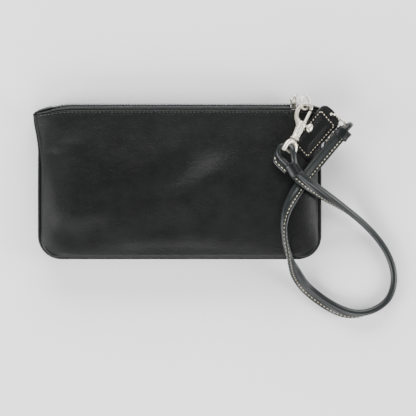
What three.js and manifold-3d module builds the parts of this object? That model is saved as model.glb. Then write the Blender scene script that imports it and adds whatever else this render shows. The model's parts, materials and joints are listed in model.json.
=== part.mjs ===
// Zip-top wristlet wallet, lying on its back: a leather pouch with a gusset, piping, lining and pocket,
// a zip with its slider and pull link, and a rolled wrist strap that runs from a D-ring on the side
// to a swivel clip hooked to a ring at the slider, with a stitched leather tag on a bead chain.
// Millimetres. +X runs along the zip, +Y towards the zip, +Z out of the front panel.
// The origin is the middle of the flat back that the wallet rests on.
import * as THREE from 'three';
import { mergeVertices } from 'three/addons/utils/BufferGeometryUtils.js';
import Module from 'manifold-3d';

const wasm = await Module();
wasm.setup();

// ---------- driving dimensions ----------
const pouch = {
  halfWidth: 98.4, // at the middle of the sides
  bottom: -54.6,
  top: 50.4,
  corner: 15, // radius of the two bottom corners
  earFlare: 4.6, // how far the top corners stand out past the sides
  earStart: 20, // height at which the flare starts
  depth: 20, // from the back to the front seam
  topPinch: 4.5, // how much thinner the pouch is at the zip's ends
  crown: 6.2, // how far the front panel stands proud of its seam
};
const leather = 1.5; // panel thickness
const seamInset = 3.3; // from the outline to a panel's edge
const pipingRadius = 1.25;
const gap = 0.4; // between neighbouring pieces

const zip = {
  middle: 11, // height of the closed teeth above the back
  ridge: 53.4, // how high the teeth stand, along Y
  hingeY: 50.8, // where a tape turns out of the panel's top edge
  frontHingeZ: 17.9,
  left: -76, // ends of the moving rows
  right: 74.5,
  pitch: 4.4, // of the modelled teeth
  split: 0.8, // half the gap that the slider's post runs in
  row: 1.9, // height of one row of teeth
  thick: 2.2,
};
const sliderX = 79.1;
const sliderLength = 4.4;

const clip = { x: 78.9, y: 29.05, z: 29.1, heading: 65, slope: -15 }; // barrel's lower end
const barrel = { radius: 3.1, length: 14, boreX: 1.1, bore: 1.35, boreStart: 1.9 };
const pinY = -9.6; // the eye's cross pin, below the barrel
const eyeTurn = 35; // the eye is swivelled by this much about the clip's length
const hookWire = 1.35;

const dRing = { x: 105.6, y: 38.4, z: 11, half: 5.2, reach: 11.2, wire: 0.85, tilt: 37 };
const strapWidth = 8.6;
const strapThick = 4.6;

// ---------- materials ----------
const material = (color, roughness, metalness = 0) =>
  new THREE.MeshStandardMaterial({ color, roughness, metalness });
const blackLeather = material(0x2a2c2b, 0.5);
const strapLeather = material(0x3a3f40, 0.45);
const liningFabric = material(0x4a4a48, 0.9);
const zipTape = material(0x15171b, 0.85);
const zipTeeth = material(0x101318, 0.4);
const nickel = material(0xcfcabd, 0.22, 1);

// ---------- helpers ----------
const wallet = new THREE.Group();

function add(name, geometry, look, parent = wallet) {
  const mesh = new THREE.Mesh(geometry, look);
  mesh.name = name;
  parent.add(mesh);
  return mesh;
}

function solidOf(geometry) {
  const bare = geometry.clone();
  bare.deleteAttribute('normal');
  bare.deleteAttribute('uv');
  const merged = mergeVertices(bare, 1e-4);
  return new wasm.Manifold(new wasm.Mesh({
    numProp: 3,
    vertProperties: new Float32Array(merged.attributes.position.array),
    triVerts: new Uint32Array(merged.index.array),
  }));
}

function geometryOf(solid) {
  const mesh = solid.getMesh();
  const geometry = new THREE.BufferGeometry();
  geometry.setAttribute('position', new THREE.BufferAttribute(new Float32Array(mesh.vertProperties), 3));
  geometry.setIndex(new THREE.BufferAttribute(new Uint32Array(mesh.triVerts), 1));
  return geometry;
}

const join = (...parts) => geometryOf(parts.map(solidOf).reduce((a, b) => a.add(b)));
const cut = (body, ...tools) => geometryOf(tools.map(solidOf).reduce((a, b) => a.subtract(b), solidOf(body)));

// A box between two corners.
function block(x0, x1, y0, y1, z0, z1) {
  return new THREE.BoxGeometry(x1 - x0, y1 - y0, z1 - z0)
    .translate((x0 + x1) / 2, (y0 + y1) / 2, (z0 + z1) / 2);
}

// A section with `sides` corners, `high` along the path's first normal and `wide` across it.
function section(high, wide, sides) {
  const points = [];
  for (let k = 0; k < sides; k += 1) {
    const angle = ((k + 0.5) / sides) * 2 * Math.PI;
    points.push(new THREE.Vector2(high * Math.cos(angle), wide * Math.sin(angle)));
  }
  return new THREE.Shape(points);
}

// A bar of round or oval section along a curve.
function sweep(curve, high, steps, sides = 8, wide = high) {
  return new THREE.ExtrudeGeometry(section(high, wide, sides), {
    steps, extrudePath: curve, bevelEnabled: false,
  });
}

const through = (points) => new THREE.CatmullRomCurve3(points.map((p) => new THREE.Vector3(...p)));
const straight = (a, b) => new THREE.LineCurve3(new THREE.Vector3(...a), new THREE.Vector3(...b));

// ---------- the pouch's outline ----------
// Half the outline's width at a height y, moved in by `inset`.
function halfWidthAt(y, inset) {
  const flare = Math.max(0, (y - pouch.earStart) / (pouch.top - pouch.earStart));
  const radius = pouch.corner - inset;
  const above = y - (pouch.bottom + inset);
  const round = above < radius ? radius - Math.sqrt(Math.max(0, radius ** 2 - (radius - above) ** 2)) : 0;
  return pouch.halfWidth - inset + pouch.earFlare * flare ** 2 - round;
}

// The front seam's height above the back: the pouch thins towards the zip's ends.
function seamAt(y) {
  const rise = THREE.MathUtils.smoothstep(y, -5, pouch.top);
  return pouch.depth - pouch.topPinch * rise;
}

// The front panel's outer face: crowned between its seams, flatter at the zip.
function frontAt(x, y) {
  const u = Math.min(1, Math.abs(x) / halfWidthAt(y, seamInset));
  const s = THREE.MathUtils.clamp((y - pouch.bottom) / (pouch.top - pouch.bottom), 0, 1);
  const swell = pouch.crown * (1 - (1 - s) ** 5) - 2.2 * s ** 3;
  return seamAt(y) + swell * (1 - u ** 6);
}

// Rows of heights from the bottom edge to `top`: close together round the corners.
function rowHeights(inset, top, rows) {
  const radius = pouch.corner - inset;
  const cornerRows = 4;
  const heights = [];
  for (let k = 0; k <= cornerRows; k += 1) {
    heights.push(pouch.bottom + inset + radius * (1 - Math.cos((k / cornerRows) * (Math.PI / 2))));
  }
  const start = heights[cornerRows];
  const rest = rows - cornerRows;
  for (let k = 1; k <= rest; k += 1) heights.push(start + ((top - start) * k) / rest);
  return heights;
}

// A plate that fills the outline moved in by `inset`, between two faces given as heights over (x, y).
function plate(inset, top, columns, rows, lowFace, highFace) {
  const heights = rowHeights(inset, top, rows);
  const geometry = new THREE.BoxGeometry(2, rows, 1, columns, rows, 1);
  const position = geometry.attributes.position;
  for (let k = 0; k < position.count; k += 1) {
    const y = heights[Math.round(position.getY(k) + rows / 2)];
    const x = position.getX(k) * halfWidthAt(y, inset);
    position.setXYZ(k, x, y, position.getZ(k) > 0 ? highFace(x, y) : lowFace(x, y));
  }
  return geometry;
}

// The U-shaped seam line down one side, along the bottom and up the other, moved in by `inset`.
class SeamLine extends THREE.Curve {
  constructor(inset, heightAt) {
    super();
    this.heightAt = heightAt;
    const side = [];
    const radius = pouch.corner - inset;
    for (let k = 0; k <= 9; k += 1) {
      const y = pouch.top + ((pouch.bottom + pouch.corner - pouch.top) * k) / 9;
      side.push([halfWidthAt(y, inset), y]);
    }
    for (let k = 1; k <= 6; k += 1) {
      const angle = (k / 6) * (Math.PI / 2);
      side.push([
        pouch.halfWidth - pouch.corner + radius * Math.cos(angle),
        pouch.bottom + pouch.corner - radius * Math.sin(angle),
      ]);
    }
    const left = side.map(([x, y]) => [-x, y]);
    const right = side.slice().reverse();
    const bottom = [-60, -30, 0, 30, 60].map((x) => [x, pouch.bottom + inset]);
    this.points = [...left, ...bottom, ...right];
  }

  getPoint(t, target = new THREE.Vector3()) {
    const along = t * (this.points.length - 1);
    const k = Math.min(Math.floor(along), this.points.length - 2);
    const mix = along - k;
    const [a, b] = [this.points[k], this.points[k + 1]];
    const x = a[0] + (b[0] - a[0]) * mix;
    const y = a[1] + (b[1] - a[1]) * mix;
    return target.set(x, y, this.heightAt(y));
  }

  // Stepped point by point, so that the corners keep their rounding.
  getPointAt(t, target) {
    return this.getPoint(t, target);
  }

  getTangentAt(t, target) {
    return this.getTangent(t, target);
  }
}

// ---------- pouch ----------
const panelTop = pouch.top;
add('back_panel', plate(seamInset, panelTop, 10, 8, () => 0, () => leather), blackLeather);
add('front_panel', plate(seamInset, panelTop, 20, 12, (x, y) => frontAt(x, y) - leather, frontAt), blackLeather);

const pipingMiddle = pipingRadius + 0.05;
const frontPiping = new SeamLine(pipingMiddle, (y) => seamAt(y) - pipingRadius);
const backPiping = new SeamLine(pipingMiddle, () => pipingMiddle);
add('front_piping', sweep(frontPiping, pipingRadius, frontPiping.points.length - 1, 6), blackLeather);
add('back_piping', sweep(backPiping, pipingRadius, backPiping.points.length - 1, 6), blackLeather);

// The gusset is an upright band between the two rows of piping.
function gussetBand() {
  const outer = new SeamLine(0.5, () => 0).points.map(([x, y]) => new THREE.Vector2(x, y));
  const inner = new SeamLine(1.9, () => 0).points.map(([x, y]) => new THREE.Vector2(x, y));
  const outline = new THREE.Shape([...outer, ...inner.reverse()]);
  const geometry = new THREE.ExtrudeGeometry(outline, { depth: 1, bevelEnabled: false });
  const position = geometry.attributes.position;
  const low = 2 * pipingMiddle + gap;
  for (let k = 0; k < position.count; k += 1) {
    const high = seamAt(position.getY(k)) - 2 * pipingRadius - gap;
    position.setZ(k, position.getZ(k) > 0.5 ? high : low);
  }
  return geometry;
}
add('gusset_band', gussetBand(), blackLeather);

// The lining is a fabric bag, open towards the zip, that stops below the leather facings.
const liningTop = 39;
const liningInset = seamInset + 0.2;
const liningWall = 0.9;
function liningBag() {
  const floor = leather + gap;
  const under = (x, y) => frontAt(x, y) - leather - gap;
  const outer = plate(liningInset, liningTop, 12, 8, () => floor, under);
  const inner = plate(liningInset + liningWall, liningTop + 5, 12, 8, () => floor + liningWall,
    (x, y) => under(x, y) - liningWall);
  return cut(outer, inner);
}
add('lining', liningBag(), liningFabric);
const pocket = { half: 58, low: -46, high: 12, binding: 4.6 };
add('slip_pocket', block(-pocket.half, pocket.half, pocket.low, pocket.high, 3.2, 4.0), liningFabric);
const bindingLow = pocket.high + gap;
add('slip_pocket_binding',
  block(-pocket.half, pocket.half, bindingLow, bindingLow + pocket.binding, 3.1, 4.1), blackLeather);

// Leather facings inside the mouth.
const facingLow = liningTop + gap;
const facingHigh = pouch.top - 1;
const facingHalf = 88;
const facingThick = 1;
function frontFacing() {
  const geometry = new THREE.BoxGeometry(2 * facingHalf, facingHigh - facingLow, 1, 12, 2, 1)
    .translate(0, (facingHigh + facingLow) / 2, 0);
  const position = geometry.attributes.position;
  for (let k = 0; k < position.count; k += 1) {
    const under = frontAt(position.getX(k), position.getY(k)) - leather - gap;
    position.setZ(k, position.getZ(k) > 0 ? under : under - facingThick);
  }
  return geometry;
}
add('front_facing', frontFacing(), blackLeather);
add('back_facing', block(-facingHalf, facingHalf, facingLow, facingHigh, leather + gap,
  leather + gap + facingThick), blackLeather);

// ---------- zip ----------
// One side of the zip, made for the front and mirrored for the back.
const rowInner = zip.middle + zip.split;
const rowOuter = rowInner + zip.row;
function tapeSide() {
  const dy = zip.ridge - 0.4 - zip.hingeY;
  const dz = rowOuter + 0.3 - zip.frontHingeZ;
  const wide = Math.hypot(dy, dz);
  return new THREE.BoxGeometry(zip.right - zip.left, wide - 0.4, 0.8)
    .rotateX(Math.atan2(dz, dy))
    .translate((zip.left + zip.right) / 2, zip.hingeY + dy / 2, zip.frontHingeZ + dz / 2);
}

// A row of teeth on the cord that carries them: a comb, cut square.
function teethRow() {
  const outline = new THREE.Shape();
  const cordInner = rowOuter - 0.7;
  outline.moveTo(zip.left, rowOuter);
  outline.lineTo(zip.left, cordInner);
  const count = Math.floor((zip.right - zip.left) / zip.pitch);
  const space = 0.8; // before the first tooth
  const tooth = 2.1; // a tooth's width at its root
  const taper = 0.2;
  for (let k = 0; k < count; k += 1) {
    const start = zip.left + k * zip.pitch + space;
    outline.lineTo(start, cordInner);
    outline.lineTo(start + taper, rowInner);
    outline.lineTo(start + tooth - taper, rowInner);
    outline.lineTo(start + tooth, cordInner);
  }
  outline.lineTo(zip.right, cordInner);
  outline.lineTo(zip.right, rowOuter);
  const geometry = new THREE.ExtrudeGeometry(outline, { depth: zip.thick, bevelEnabled: false });
  // The outline was drawn as (x, height): stand it up so that its depth runs along Y.
  return geometry.rotateX(Math.PI / 2).translate(0, zip.ridge + zip.thick / 2, 0);
}

function toBack(geometry) {
  const turned = geometry.clone().translate(0, 0, -zip.middle).scale(1, 1, -1).translate(0, 0, zip.middle);
  const flat = turned.index ? turned.toNonIndexed() : turned;
  const position = flat.attributes.position;
  for (let k = 0; k < position.count; k += 3) {
    const [x, y, z] = [position.getX(k), position.getY(k), position.getZ(k)];
    position.setXYZ(k, position.getX(k + 1), position.getY(k + 1), position.getZ(k + 1));
    position.setXYZ(k + 1, x, y, z);
  }
  return flat;
}

add('zip_tape_front', tapeSide(), zipTape);
add('zip_tape_back', toBack(tapeSide()), zipTape);
add('zip_teeth_front', teethRow(), zipTeeth);
add('zip_teeth_back', toBack(teethRow()), zipTeeth);

// The fixed ends of the zip, with their stops and folded leather tabs.
const endLow = 6.4;
const endHigh = 14.6;
add('zip_end_left', block(-91.5, -84, 51, 52.2, endLow, endHigh), zipTape);
add('zip_end_right', block(84, 91.2, 51, 52.2, endLow, endHigh), zipTape);
add('bottom_stop', block(-89.6, -87.4, 52.5, 54, 9.4, 12.6), nickel);
add('top_stop', block(85, 86.4, 52.5, 53.8, 9, 13), nickel);
add('zip_tab_left', block(-101, -92, 50.8, 53.2, 5.8, 15), blackLeather);
add('zip_tab_right', block(91.8, 101, 50.8, 54.2, 5.8, 15), blackLeather);

// Slider: outer plate, post between the rows and inner plate, with an arch for the pull link.
const sliderTop = 56.2;
const archRadius = 1.7;
const archHeight = 2.9;
function sliderBody() {
  const [x0, x1] = [sliderX - sliderLength / 2, sliderX + sliderLength / 2];
  const outer = block(x0, x1, 55, sliderTop, zip.middle - 3.4, zip.middle + 3.4);
  const post = block(x0 + 0.6, x1 - 0.6, 50.4, 55.4, zip.middle - 0.4, zip.middle + 0.4);
  const inner = block(x0, x1, 49.8, 50.9, zip.middle - 2.6, zip.middle + 2.6);
  const arch = sweep(through([
    [sliderX - archRadius, sliderTop - 0.6, zip.middle],
    [sliderX - archRadius, sliderTop + 1.6, zip.middle],
    [sliderX, sliderTop + archHeight, zip.middle],
    [sliderX + archRadius, sliderTop + 1.6, zip.middle],
    [sliderX + archRadius, sliderTop - 0.6, zip.middle],
  ]), 0.5, 14, 6);
  return join(outer, post, inner, arch);
}
add('slider', sliderBody(), nickel);

// Pull link: a long wire eye through the slider's arch, folded over towards the front.
const linkLength = 11.4;
const linkWidth = 4.6;
const linkTurn = 90; // from +Y towards +Z
const linkGroup = new THREE.Group();
linkGroup.position.set(sliderX, sliderTop + archHeight, zip.middle);
linkGroup.rotation.x = THREE.MathUtils.degToRad(linkTurn);
wallet.add(linkGroup);
function stretchedRing(length, width, wire, sides, around) {
  const geometry = new THREE.TorusGeometry(1, 0.25, sides, around);
  const position = geometry.attributes.position;
  for (let k = 0; k < position.count; k += 1) {
    const [x, y, z] = [position.getX(k), position.getY(k), position.getZ(k)];
    const angle = Math.atan2(y, x);
    const out = (Math.hypot(x, y) - 1) * 4 * wire;
    const straightHalf = (length - width) / 2;
    const end = Math.sin(angle) >= 0 ? 1 : -1;
    const radius = width / 2 - wire;
    position.setXYZ(k, (radius + out) * Math.cos(angle),
      (radius + out) * Math.sin(angle) + end * straightHalf * Math.min(1, Math.abs(Math.sin(angle)) * 6),
      z * 4 * wire);
  }
  return geometry;
}
add('pull_link', stretchedRing(linkLength, linkWidth, 0.55, 6, 24)
  .rotateY(Math.PI / 2)
  .translate(0, (linkLength - linkWidth) / 2, 0), nickel, linkGroup);

// ---------- swivel clip ----------
const clipGroup = new THREE.Group();
clipGroup.position.set(clip.x, clip.y, clip.z);
clipGroup.rotation.order = 'ZXY';
clipGroup.rotation.z = THREE.MathUtils.degToRad(clip.heading - 90);
clipGroup.rotation.x = THREE.MathUtils.degToRad(clip.slope);
wallet.add(clipGroup);

function clipBody() {
  const profile = [
    [0, 0], [3.3, 0], [3.3, 0.9], [2.7, 1.7], [2.9, 6], [barrel.radius, 12], [barrel.radius, 13.2],
    [2.6, barrel.length], [0, barrel.length],
  ].map(([r, y]) => new THREE.Vector2(r, y));
  const shell = new THREE.LatheGeometry(profile, 14);
  const hook = sweep(through([
    [-0.9, 10.6, 0], [-2.6, 13, 0], [-5.4, 15.6, 0], [-6.3, 19.4, 0], [-6.0, 23, 0],
    [-4.4, 26, 0], [-1.2, 27.6, 0], [1.4, 26.6, 0], [1.8, 24.8, 0],
  ]), hookWire, 26, 8);
  const bore = new THREE.CylinderGeometry(barrel.bore, barrel.bore, 20, 12)
    .translate(barrel.boreX, barrel.boreStart + 10, 0);
  const slot = block(barrel.boreX, 6, 6.6, 18, -1, 1);
  const studBore = new THREE.CylinderGeometry(1.3, 1.3, 2.2, 10);
  return cut(join(shell, hook), bore, slot, studBore);
}
add('clip_body', clipBody(), nickel, clipGroup);

function clipBolt() {
  const [foot, length, radius] = [8.2, 14.7, 1.05];
  const rod = new THREE.CylinderGeometry(radius, radius, length, 10)
    .translate(barrel.boreX, foot + length / 2, 0);
  const stem = new THREE.CylinderGeometry(0.7, 0.7, 3.6, 8).rotateZ(Math.PI / 2).translate(2.9, 12.2, 0);
  const knob = new THREE.SphereGeometry(1, 12, 8).scale(2.2, 3.2, 2).translate(6.4, 12.4, 0);
  return join(rod, stem, knob);
}
add('clip_bolt', clipBolt(), nickel, clipGroup);
add('bolt_spring', new THREE.CylinderGeometry(1, 1, 1.4, 10)
  .translate(barrel.boreX, 7.1, 0), nickel, clipGroup);

const eyeGroup = new THREE.Group();
eyeGroup.rotation.y = THREE.MathUtils.degToRad(eyeTurn);
clipGroup.add(eyeGroup);
function swivelEye() {
  const stud = new THREE.CylinderGeometry(0.9, 0.9, 3.4, 8).translate(0, -0.9, 0);
  const bow = sweep(through([
    [-4.6, pinY - 0.4, 0], [-4.5, pinY + 2, 0], [-3.9, -4.6, 0], [-2.6, -2.6, 0], [0, -2, 0],
    [2.6, -2.6, 0], [3.9, -4.6, 0], [4.5, pinY + 2, 0], [4.6, pinY - 0.4, 0],
  ]), 1.05, 20, 8);
  const pin = new THREE.CylinderGeometry(0.85, 0.85, 11.4, 8).rotateZ(Math.PI / 2).translate(0, pinY, 0);
  return join(stud, bow, pin);
}
add('swivel_eye', swivelEye(), nickel, eyeGroup);

// Split ring, threaded on the hook's wire. Its left side stands high, next to the pull link.
const ringGroup = new THREE.Group();
ringGroup.position.set(86.6, 55, 23.3);
ringGroup.rotation.set(THREE.MathUtils.degToRad(8), THREE.MathUtils.degToRad(50), 0);
wallet.add(ringGroup);
const splitRing = { radius: 4.8, wire: 0.6 };
add('split_ring', new THREE.TorusGeometry(splitRing.radius, splitRing.wire, 6, 22), nickel, ringGroup);

// ---------- side tab and D-ring ----------
function sideTab() {
  const wrap = block(101.2, dRing.x + 2, dRing.y - 3.4, dRing.y + 3.4, dRing.z - 2.2, dRing.z + 2.2);
  const sleeve = new THREE.CylinderGeometry(dRing.wire + 0.35, dRing.wire + 0.35, 12, 10)
    .translate(dRing.x, dRing.y, dRing.z);
  return cut(wrap, sleeve);
}
add('side_tab', sideTab(), blackLeather);

const dRingGroup = new THREE.Group();
dRingGroup.position.set(dRing.x, dRing.y, dRing.z);
dRingGroup.rotation.y = THREE.MathUtils.degToRad(-dRing.tilt);
wallet.add(dRingGroup);
function dRingBody() {
  const { half, reach, wire } = dRing;
  const bow = sweep(through([
    [0, -half, 0], [reach * 0.55, -half, 0], [reach * 0.92, -half * 0.8, 0], [reach, 0, 0],
    [reach * 0.92, half * 0.8, 0], [reach * 0.55, half, 0], [0, half, 0],
  ]), wire, 22, 6);
  const bar = new THREE.CylinderGeometry(wire, wire, 2 * half + 1.2, 8);
  return join(bow, bar);
}
add('d_ring', dRingBody(), nickel, dRingGroup);

// ---------- wrist strap ----------
// Middle of the strap from the clip's keeper, out round the loop and back to the D-ring's keeper.
const strapRoute = [
  [81.0, 4.2, 32.0], [85.4, 0.3, 32.2], [91.7, -4.3, 30.8], [100.8, -10.4, 26.0], [111.3, -17.2, 18.0],
  [122.5, -25.2, 10.2], [132.3, -34.0, 4.6], [140.7, -43.8, 2.7], [146.3, -53.6, 2.6],
  [149.3, -63.4, 2.6], [149.4, -72.5, 2.6], [146.6, -80.9, 2.6], [141.2, -87.0, 2.6],
  [133.7, -91.3, 2.6], [125.3, -93.0, 2.6], [116.2, -92.0, 2.6], [106.4, -88.2, 2.6],
  [95.9, -81.6, 2.8], [86.8, -73.6, 5.0], [79.9, -63.4, 13.4], [76.6, -57.0, 21.6],
  [74.7, -50.5, 25.8], [72.7, -41.0, 26.9], [72.1, -30.5, 27.2], [73.5, -21.4, 27.4],
  [77.0, -13.0, 27.4], [81.9, -4.6, 27.0], [86.8, 2.5, 26.4], [92.4, 9.5, 25.6],
  [98.7, 17.2, 25.4], [104.6, 24.3, 26.0], [109.6, 30.2, 26.9],
];
add('strap', sweep(through(strapRoute), strapThick / 2, 76, 8, strapWidth / 2), strapLeather);

// A keeper is a leather collar wrapped round the strap where its end is doubled back.
const keeperWidth = 11.4;
const keeperHeight = 6;
function keeper(length) {
  return new THREE.BoxGeometry(keeperWidth, length, keeperHeight, 2, 1, 2);
}
function aimAlong(mesh, from, to) {
  mesh.position.set(...from.map((value, k) => (value + to[k]) / 2));
  const flat = Math.hypot(to[0] - from[0], to[1] - from[1]);
  mesh.rotation.order = 'ZXY';
  mesh.rotation.z = Math.atan2(to[1] - from[1], to[0] - from[0]) - Math.PI / 2;
  mesh.rotation.x = Math.atan2(to[2] - from[2], flat);
}
const clipKeeper = add('keeper_clip_end', keeper(7), strapLeather);
aimAlong(clipKeeper, [80.1, 5.2, 32.0], [76.0, 10.9, 31.8]);
const ringKeeper = add('keeper_ring_end', keeper(5), strapLeather);
aimAlong(ringKeeper, [110.2, 30.9, 27.0], [113.8, 35.2, 27.1]);

// The strap's two small end loops, one round the eye's pin and one round the D-ring.
const loopGroup = new THREE.Group();
loopGroup.position.set(0, pinY - 1, 0);
eyeGroup.add(loopGroup);
add('strap_loop_clip', new THREE.TorusGeometry(3.9, 1.7, 8, 22).rotateY(Math.PI / 2), strapLeather, loopGroup);

const farLoop = new THREE.Group();
farLoop.position.set(114.8, 38.0, 17.8);
farLoop.rotation.z = THREE.MathUtils.degToRad(-65);
wallet.add(farLoop);
add('strap_loop_ring', new THREE.TorusGeometry(3.3, 1.25, 8, 20).rotateY(Math.PI / 2), strapLeather, farLoop);

// ---------- hang tag ----------
const tagGroup = new THREE.Group();
tagGroup.position.set(105, 46.9, 19.3);
tagGroup.rotation.order = 'ZXY';
tagGroup.rotation.z = THREE.MathUtils.degToRad(-41.3);
tagGroup.rotation.x = THREE.MathUtils.degToRad(-6);
wallet.add(tagGroup);
// In the tag's own frame the hole is the origin and the tag runs along -Y.
const tag = { half: 9, foot: -34.8, shoulder: -3.4, headTop: 2.9, round: 2.4, hole: 1.7 };
function tagLayer(margin, z0, z1, withHead) {
  const { round, headTop } = tag;
  const [half, low, high] = [tag.half - margin, tag.foot + margin, tag.shoulder];
  const outline = new THREE.Shape();
  outline.moveTo(-half, low + round);
  outline.quadraticCurveTo(-half, low, -half + round, low);
  outline.lineTo(half - round, low);
  outline.quadraticCurveTo(half, low, half, low + round);
  if (withHead) {
    outline.lineTo(half, high);
    outline.bezierCurveTo(half, high + 3.6, 5.2, headTop, 0, headTop);
    outline.bezierCurveTo(-5.2, headTop, -half, high + 3.6, -half, high);
  } else {
    outline.lineTo(half, high);
    outline.lineTo(-half, high);
  }
  const hole = new THREE.Path().absarc(0, 0, tag.hole, 0, 2 * Math.PI);
  if (withHead) outline.holes.push(hole);
  return new THREE.ExtrudeGeometry(outline, { depth: z1 - z0, bevelEnabled: false, curveSegments: 6 })
    .translate(0, 0, z0);
}
add('tag_back', tagLayer(0, -1.1, -0.1, true), blackLeather, tagGroup);
add('tag_front', tagLayer(0.6, 0.2, 1.2, false), blackLeather, tagGroup);

// Bead chain: balls on a thin wire, looped through the tag's hole and the D-ring.
const chainRoute = [
  [105.0, 46.9, 21.8], [107.9, 47.0, 22.6], [110.9, 45.2, 20.4], [111.9, 43.0, 18.4], [110.3, 40.9, 14.8],
  [109.0, 42.2, 10.8], [107.4, 45.0, 10.6], [105.6, 46.8, 13.4], [105.0, 46.9, 16.6], [105.0, 46.9, 19.2],
];
function beadChain() {
  const curve = through(chainRoute);
  curve.closed = true;
  const count = 13;
  const [beadRadius, wireRadius] = [0.95, 0.35];
  const beads = curve.getSpacedPoints(count).slice(0, count);
  const parts = [];
  beads.forEach((bead, k) => {
    const next = beads[(k + 1) % count];
    parts.push(new THREE.SphereGeometry(beadRadius, 6, 4).translate(bead.x, bead.y, bead.z));
    parts.push(sweep(straight(bead.toArray(), next.toArray()), wireRadius, 1, 4));
  });
  return join(...parts);
}
add('bead_chain', beadChain(), nickel);

export default wallet;
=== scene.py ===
"""Zip-top wristlet wallet lying on its back on a pale table, seen from straight above.

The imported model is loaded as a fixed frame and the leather, thread, zip and nickel pieces are built round
it. Shapes are modelled in millimetres and written to their meshes in metres, in the frame's own axes:
+X along the zip, +Y towards the zip, +Z out of the front panel.
"""
import json
import math

import bmesh
import bpy
from mathutils import Matrix, Vector, noise


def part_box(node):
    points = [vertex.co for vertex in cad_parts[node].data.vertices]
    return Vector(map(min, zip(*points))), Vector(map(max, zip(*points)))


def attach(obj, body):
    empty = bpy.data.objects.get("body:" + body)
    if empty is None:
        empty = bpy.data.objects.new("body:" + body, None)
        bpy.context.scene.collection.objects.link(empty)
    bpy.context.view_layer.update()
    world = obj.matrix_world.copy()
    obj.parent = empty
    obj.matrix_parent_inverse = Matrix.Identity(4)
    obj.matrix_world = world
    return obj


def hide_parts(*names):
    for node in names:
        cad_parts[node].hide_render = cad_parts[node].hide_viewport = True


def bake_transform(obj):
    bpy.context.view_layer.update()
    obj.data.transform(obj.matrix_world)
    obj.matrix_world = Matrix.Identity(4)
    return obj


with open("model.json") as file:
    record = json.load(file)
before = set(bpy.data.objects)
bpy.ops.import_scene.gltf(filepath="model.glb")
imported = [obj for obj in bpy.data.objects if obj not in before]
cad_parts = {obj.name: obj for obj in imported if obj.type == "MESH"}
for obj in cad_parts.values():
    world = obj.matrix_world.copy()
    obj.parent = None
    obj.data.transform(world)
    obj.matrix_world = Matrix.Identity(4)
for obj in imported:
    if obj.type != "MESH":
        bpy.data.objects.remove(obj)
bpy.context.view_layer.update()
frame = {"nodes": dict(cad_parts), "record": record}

# ---------------------------------------------------------------- the frame's own measures
METRES = 0.001


def corners(node):
    """A CAD node's lowest and highest corner, in millimetres."""
    low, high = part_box(node)
    return Vector(low) / METRES, Vector(high) / METRES


def middle(node):
    low, high = corners(node)
    return (low + high) / 2


def joint(name):
    """A joint's point in millimetres and its axis."""
    for row in frame["record"]["behaviour"]["joints"]:
        if row["name"] == name:
            place = Vector(row.get("pos_m", (0, 0, 0))) / METRES
            return place, Vector(row["axis"]).normalized()
    raise KeyError(name)


_, PANEL_HIGH = corners("front_panel")
PIPING_LOW, PIPING_HIGH = corners("front_piping")
PIPING_RADIUS = 1.25
CORNER = 16.5  # radius of the pouch's bottom corners
EAR_FLARE = 4.6  # how far the zip's ends pull the top corners out
EAR_START = 21.0
SEAM_INSET = 3.3  # from the outline to the crown's foot
PANEL_INSET = 0.8  # from the outline to the front panel's edge
BACK_INSET = 2.8
EDGE_ROUND = 2.6  # radius of the front panel's rounded edge
BOTTOM = PIPING_LOW.y - 0.05
TOP = PANEL_HIGH.y
SIDE_HALF = PIPING_HIGH.x - EAR_FLARE + 0.1
DEPTH = 20.0  # from the back to the front seam
TOP_PINCH = 4.5
CROWN = 6.2
LEATHER = 1.5
GUSSET_LEATHER = 1.1
# The front's soft folds: start, end, half width and height. A negative height is a hollow.
FOLDS = [
    ((34, 12), (-12, -23), 11, 2.4), ((-92, 23.5), (-68, 26), 4, 0.6), ((-84, -26), (-50, -18), 9, 1.5),
    ((-44, -42), (28, -37), 7, 0.6), ((-94, 36), (-78, -6), 7, -0.5),
]


# ---------------------------------------------------------------- pouch surfaces
def half_width(y, inset):
    """Half the outline's width at a height y, moved in by inset."""
    flare = max(0.0, (y - EAR_START) / (TOP - EAR_START))
    radius = CORNER - inset
    above = y - (BOTTOM + inset)
    cut = radius - math.sqrt(max(0.0, radius ** 2 - (radius - above) ** 2)) if above < radius else 0.0
    return SIDE_HALF - inset + EAR_FLARE * flare ** 1.3 - cut


def smooth(value, low, high):
    t = min(1.0, max(0.0, (value - low) / (high - low)))
    return t * t * (3 - 2 * t)


def panel_half(y):
    """Half the front panel's width: it covers the ears and leaves the piping bare along the sides."""
    bare = 1.2 * (1 - smooth(y, 8, 27)) * smooth(y, BOTTOM + 1, BOTTOM + 24)
    return half_width(y, PANEL_INSET) - bare


def seam_height(y):
    return DEPTH - TOP_PINCH * smooth(y, -5.0, TOP)


def hump(value, centre, width):
    return math.exp(-((value - centre) / width) ** 2)


def front_height(x, y):
    """The crowned front face, without its creases."""
    u = min(1.0, abs(x) / half_width(y, SEAM_INSET))
    s = min(1.0, max(0.0, (y - BOTTOM) / (TOP - BOTTOM)))
    swell = CROWN * (1 - (1 - s) ** 5) - 2.2 * s ** 3
    return seam_height(y) + swell * (1 - u ** 13)


def crease(x, y, start, end, width, depth):
    """A soft fold along a line that fades out at its ends."""
    line = Vector(end) - Vector(start)
    reach = line.length
    line.normalize()
    from_start = Vector((x, y)) - Vector(start)
    along = from_start.dot(line)
    off = from_start.x * line.y - from_start.y * line.x
    fade = smooth(along, -0.25 * reach, 0.3 * reach) * (1 - smooth(along, 0.7 * reach, 1.25 * reach))
    return depth * fade * (hump(off, 0, width) - 0.6 * hump(off, 1.7 * width, width))


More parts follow.
